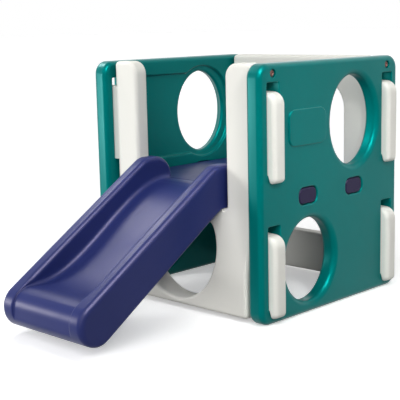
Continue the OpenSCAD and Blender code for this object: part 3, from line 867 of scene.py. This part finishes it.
def repeated(name, mesh, mat, x):
    s = screwSet
    spots, turns = [], []
    for side in (1, -1):
        for y in s["y"]:
            spots.append((side * x * mm, (y + frontY) * mm, s["z"] * mm))
            turns.append((0.0, 0.0, 0.0) if side > 0 else (0.0, 0.0, math.pi))
    points = bpy.data.meshes.new(name)
    points.from_pydata(spots, [], [])
    turn = points.attributes.new("turn", "FLOAT_VECTOR", "POINT")
    for item, value in zip(turn.data, turns):
        item.vector = value
    made = addObject(name, points)
    single = addObject(name + "Single", mesh)
    mod = made.modifiers.new("repeat", "NODES")
    mod.node_group, piece, finish = repeatTree(name)
    mod[piece] = single
    mod[finish] = mat
    bpy.context.view_layer.update()
    solid = bpy.data.meshes.new_from_object(made.evaluated_get(bpy.context.evaluated_depsgraph_get()))
    made.modifiers.clear()
    made.data = solid
    bpy.data.objects.remove(single)
    return made


corners = ("front_right", "back_right", "front_left", "back_left")
screws = repeated("cornerScrews", screwMesh(), screwMat, screwSet["seat"])
claim(screws, screwMat, "screw_steel", "gym", *["screw_" + c for c in corners])
washers = repeated("cornerWashers", washerMesh(), washerMat, screwSet["seat"] - screwSet["washerThick"])
claim(washers, washerMat, "washer_steel", "gym", *["washer_" + c for c in corners])
for c in corners:
    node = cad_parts["insert_" + c]
    node.data.materials.clear()
    node.data.materials.append(insertMat)
print("stage: fasteners")

# Floor and room, both paler to the eye than in the light they give
floorSet = {"seen": 1.0, "bounce": 0.24, "glow": 0.36, "size": 60.0, "drop": 0.0006, "rough": 0.9}
roomSet = {"seen": 1.0, "light": 0.2}
white = (1, 1, 1, 1)


def seenFactor(nodes, links):
    path = nodes.new("ShaderNodeLightPath")
    total = path.outputs["Is Camera Ray"]
    for kind in ("Is Glossy Ray", "Is Transmission Ray"):
        both = nodes.new("ShaderNodeMath")
        both.operation = "MAXIMUM"
        links.new(total, both.inputs[0])
        links.new(path.outputs[kind], both.inputs[1])
        total = both.outputs["Value"]
    return total


def buildFloor():
    s = floorSet
    bm = bmesh.new()
    bmesh.ops.create_grid(bm, x_segments=1, y_segments=1, size=s["size"])
    mesh = bpy.data.meshes.new("floorSheet")
    bm.to_mesh(mesh)
    bm.free()
    floor = addObject("floorSheet", mesh)
    floor.location = (0, 0, -s["drop"])
    mat, nodes, links, shader = newMaterial("paleFloor")
    shader.inputs["Roughness"].default_value = s["rough"]
    shader.inputs["Specular IOR Level"].default_value = 0.0
    shader.inputs["Emission Color"].default_value = white
    seen = seenFactor(nodes, links)
    links.new(between(nodes, links, seen, s["bounce"], s["seen"]), shader.inputs["Base Color"])
    links.new(between(nodes, links, seen, 0.0, s["glow"]), shader.inputs["Emission Strength"])
    mesh.materials.append(mat)


def buildRoom():
    s = roomSet
    world = bpy.data.worlds.new("softRoom")
    world.use_nodes = True
    nodes, links = world.node_tree.nodes, world.node_tree.links
    back = nodes["Background"]
    back.inputs["Color"].default_value = white
    seen = seenFactor(nodes, links)
    links.new(between(nodes, links, seen, s["light"], s["seen"]), back.inputs["Strength"])
    bpy.context.scene.world = world


# Lamps: the first two are far away, the others stand round the gym
lampSet = {
    "keyLight": {"heading": (-0.28, 0.8, -0.55), "spread": 70.0, "power": 2.07},
    "backLight": {"heading": (0.05, -0.85, -0.5), "spread": 80.0, "power": 0.8},
    "fillLight": {"spot": (1.6, 0.42, 0.9), "aim": (0.325, 0.34, 0.5), "size": 1.0, "grid": 45.0,
                  "power": 0.6},
    "topLight": {"spot": (-1.1, -0.15, 1.55), "aim": (0.0, -0.2, 0.25), "size": 0.45, "grid": 70.0,
                 "power": 1.4},
    "rimLight": {"spot": (1.35, -0.5, 1.3), "aim": (0.325, 0.1, 0.42), "size": 0.3, "grid": 60.0,
                 "power": 1.0},
    "stripLight": {"spot": (-1.7, -1.75, 0.4), "aim": (0.0, -0.1, 0.35), "size": 0.6, "grid": 90.0,
                   "power": 5.8},
    "glintLight": {"spot": (1.25, -0.65, 1.85), "aim": (0.1, 0.2, 0.4), "size": 1.3, "grid": 120.0,
                   "power": 50.0, "shineOnly": True},
}


def farLight(name, look):
    lamp = bpy.data.lights.new(name, "SUN")
    lamp.energy = look["power"]
    lamp.angle = math.radians(look["spread"])
    made = addObject(name, lamp)
    made.rotation_euler = Vector(look["heading"]).to_track_quat("-Z", "Y").to_euler()


def nearLight(name, look):
    lamp = bpy.data.lights.new(name, "AREA")
    lamp.shape = "DISK"
    lamp.size = look["size"]
    lamp.spread = math.radians(look["grid"])
    lamp.energy = look["power"]
    made = addObject(name, lamp)
    made.location = look["spot"]
    made.rotation_euler = (Vector(look["aim"]) - Vector(look["spot"])).to_track_quat("-Z", "Y").to_euler()
    made.visible_camera = False
    made.visible_diffuse = not look.get("shineOnly", False)  # the glint shows in the gloss alone


# Camera, solved from the panels' edges
cameraSet = {
    "lens": 91.31, "sensor": 36.0, "clipEnd": 200.0, "spot": (2.0202, -2.0459, 0.8062),
    "yaw": 44.16, "pitch": 9.94, "roll": -1.29,
}


def buildCamera():
    s = cameraSet
    yaw, pitch, roll = (math.radians(s[k]) for k in ("yaw", "pitch", "roll"))
    ahead = Vector((-math.sin(yaw) * math.cos(pitch), math.cos(yaw) * math.cos(pitch), -math.sin(pitch)))
    right = Vector((math.cos(yaw), math.sin(yaw), 0))
    up = right.cross(ahead)
    right, up = (math.cos(roll) * right + math.sin(roll) * up, math.cos(roll) * up - math.sin(roll) * right)
    cam = bpy.data.cameras.new("photoCamera")
    cam.lens = s["lens"]
    cam.sensor_width = s["sensor"]
    cam.clip_end = s["clipEnd"]
    made = addObject("photoCamera", cam)
    made.matrix_world = Matrix.Translation(s["spot"]) @ Matrix((right, up, -ahead)).transposed().to_4x4()
    bpy.context.scene.camera = made


buildFloor()
for name, look in lampSet.items():
    if "heading" in look:
        farLight(name, look)
    else:
        nearLight(name, look)
buildRoom()
bpy.context.scene.view_settings.view_transform = "Standard"
buildCamera()
print("stage: floor, light and camera")
